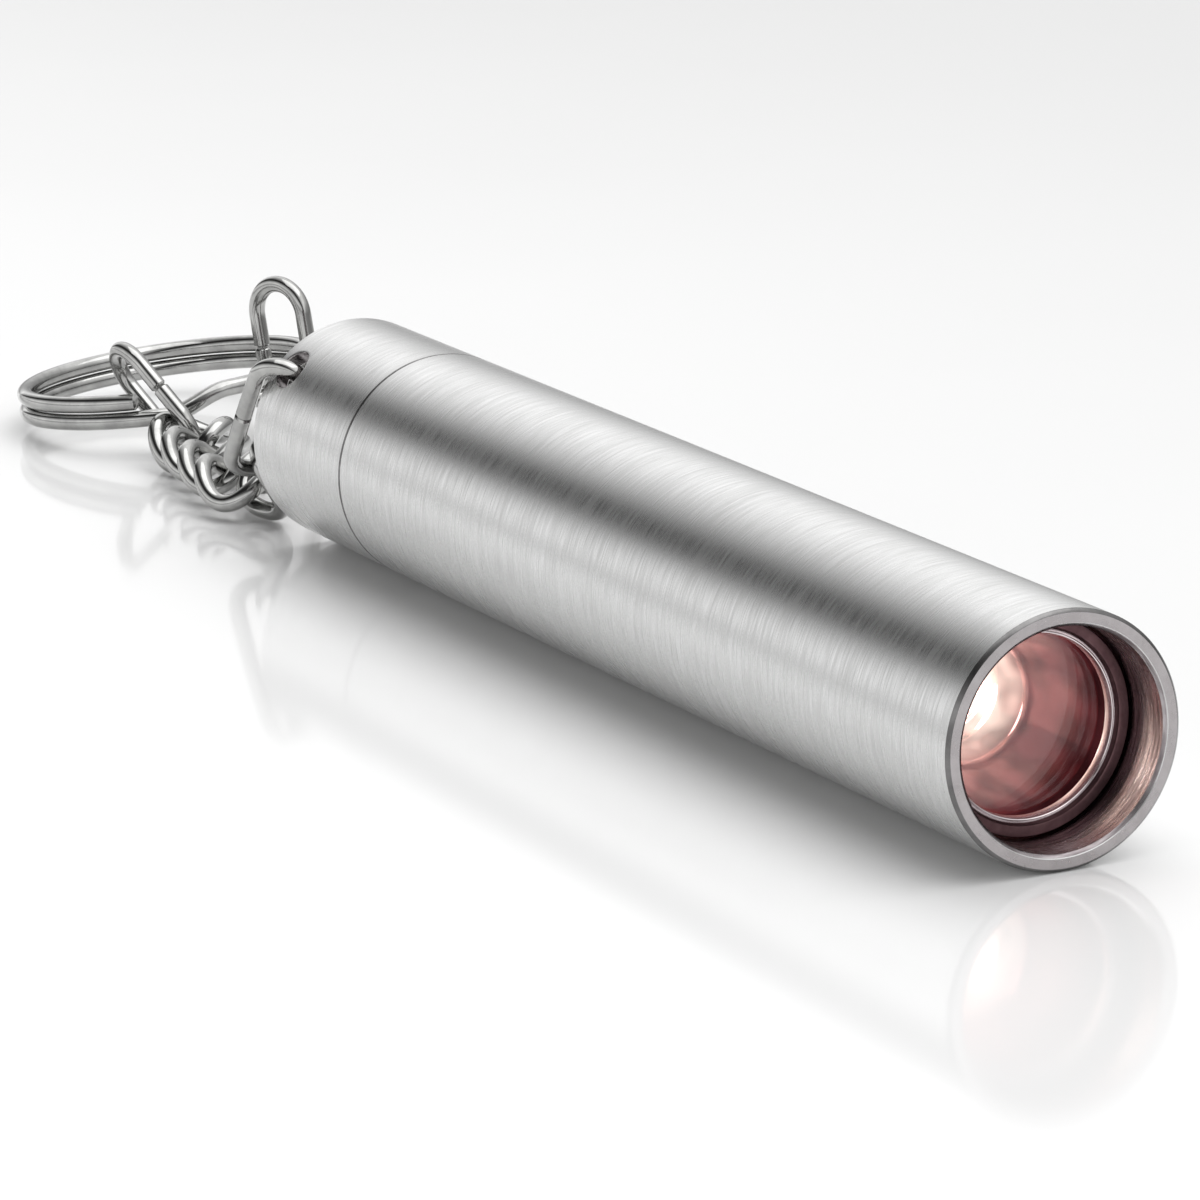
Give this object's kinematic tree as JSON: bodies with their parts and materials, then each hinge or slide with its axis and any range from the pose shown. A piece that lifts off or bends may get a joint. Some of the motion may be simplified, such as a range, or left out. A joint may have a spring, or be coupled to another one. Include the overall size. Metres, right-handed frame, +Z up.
{
  "type": "keychain flashlight",
  "caption": "Slim stainless tube flashlight with a screw tail cap, a curb chain and a split key ring, lying on its side.",
  "frame": {"origin": "middle of the bottom of the whole object's box, on the surface that it lies on", "axes": "+X along the tube towards the light's window, -X towards the chain, +Z up"},
  "size_m": [0.207, 0.0328, 0.022],
  "materials": {
    "brushed_body": "fine turned brushing round the tube",
    "polished_wire": "polished",
    "window_ring": "black anodised, bright inner lip",
    "clear_lens": "clear polished",
    "reflector_coat": "smooth vacuum coat",
    "led_phosphor": "glowing",
    "led_body": "ceramic",
    "white_plastic": "moulded",
    "black_rubber": "matte",
    "brass_parts": "machined",
    "led_board_face": "white solder mask",
    "circuit_board": "solder mask",
    "black_component": "moulded",
    "red_insulation": "drawn",
    "black_insulation": "drawn",
    "cell_wrap": "heat-shrunk",
    "nickel_plate": "satin nickel",
    "fibre_card": "pressed card",
    "gold_spring": "gold plated"
  },
  "bodies": {
    "barrel": {"barrel": "brushed_body", "battery_button": "nickel_plate", "battery_can": "nickel_plate", "battery_insulator_ring": "fibre_card", "battery_sleeve": "cell_wrap", "driver_board": "circuit_board", "driver_capacitor_1": "led_body", "driver_capacitor_2": "led_body", "driver_chip": "black_component", "driver_inductor": "black_component", "led_board": "led_board_face", "led_centering_ring": "white_plastic", "led_dome": "led_phosphor", "led_lead_negative": "black_insulation", "led_lead_positive": "red_insulation", "led_package": "led_body", "lens": "clear_lens", "lens_o_ring": "black_rubber", "lens_retaining_ring": "window_ring", "light_engine_housing": "brass_parts", "positive_contact_post": "brass_parts", "reflector": "reflector_coat"},
    "tail_spring": {"tail_spring": "gold_spring"},
    "tail_cap": {"tail_cap": "brushed_body", "tail_o_ring": "black_rubber", "tail_contact_disc": "brass_parts", "tail_contact_ring": "brass_parts"},
    "end_link": {"end_link": "polished_wire"},
    "chain_link_1": {"chain_link_1": "polished_wire"},
    "chain_link_2": {"chain_link_2": "polished_wire"},
    "chain_link_3": {"chain_link_3": "polished_wire"},
    "chain_link_4": {"chain_link_4": "polished_wire"},
    "chain_link_5": {"chain_link_5": "polished_wire"},
    "jump_ring": {"jump_ring": "polished_wire"},
    "split_ring": {"split_ring": "polished_wire"},
    "hanger_ring": {"hanger_ring": "polished_wire"}
  },
  "joints": [
    {"name": "cap_travel", "type": "slide", "parent": "barrel", "child": "tail_spring", "axis": [-1, 0, 0], "range_m": [0, 0.005]},
    {"name": "cap_turn", "type": "hinge", "parent": "tail_spring", "child": "tail_cap", "pos_m": [-0.011, -0.00458, 0.011], "axis": [-1, 0, 0], "range_deg": [0, 1800]},
    {"name": "end_link_swing", "type": "hinge", "parent": "tail_cap", "child": "end_link", "pos_m": [-0.02771, -0.01207, 0.01799], "axis": [0, -0.7312, 0.6822], "range_deg": [-30, 2]},
    {"name": "link_1_swing", "type": "hinge", "parent": "end_link", "child": "chain_link_1", "pos_m": [-0.03893, -0.01144, 0.00739], "axis": [-0.663, 0.222, 0.715], "range_deg": [-25, 25]},
    {"name": "link_2_swing", "type": "hinge", "parent": "chain_link_1", "child": "chain_link_2", "pos_m": [-0.04251, -0.01136, 0.00275], "axis": [0.2779, 0.7598, 0.5878], "range_deg": [-25, 1]},
    {"name": "link_3_swing", "type": "hinge", "parent": "chain_link_2", "child": "chain_link_3", "pos_m": [-0.05105, -0.00938, 0.0032], "axis": [-0.126, -0.7822, 0.6101], "range_deg": [-20, 20]},
    {"name": "link_4_swing", "type": "hinge", "parent": "chain_link_3", "child": "chain_link_4", "pos_m": [-0.05774, -0.00828, 0.0032], "axis": [-0.126, -0.7822, 0.6101], "range_deg": [-20, 20]},
    {"name": "link_5_swing", "type": "hinge", "parent": "chain_link_4", "child": "chain_link_5", "pos_m": [-0.06448, -0.00738, 0.00335], "axis": [-0.072, -0.7908, 0.6078], "range_deg": [-20, 20]},
    {"name": "jump_ring_swing", "type": "hinge", "parent": "chain_link_5", "child": "jump_ring", "pos_m": [-0.06986, -0.00396, 0.00301], "axis": [-0.566, -0.7469, 0.349], "range_deg": [-2, 30]},
    {"name": "split_ring_swing", "type": "hinge", "parent": "jump_ring", "child": "split_ring", "pos_m": [-0.07348, -0.00742, 0.00427], "axis": [0.4789, 0.8708, 0.111], "range_deg": [-20, 30]},
    {"name": "hanger_swing", "type": "hinge", "parent": "split_ring", "child": "hanger_ring", "pos_m": [-0.07455, 0.00911, 0.00548], "axis": [-0.5868, 0.8097, 0.012], "range_deg": [-6, 40]}
  ],
  "couplings": [
    {"joint": "cap_turn", "follows": "cap_travel", "rad_per_m": 6283.2}
  ]
}
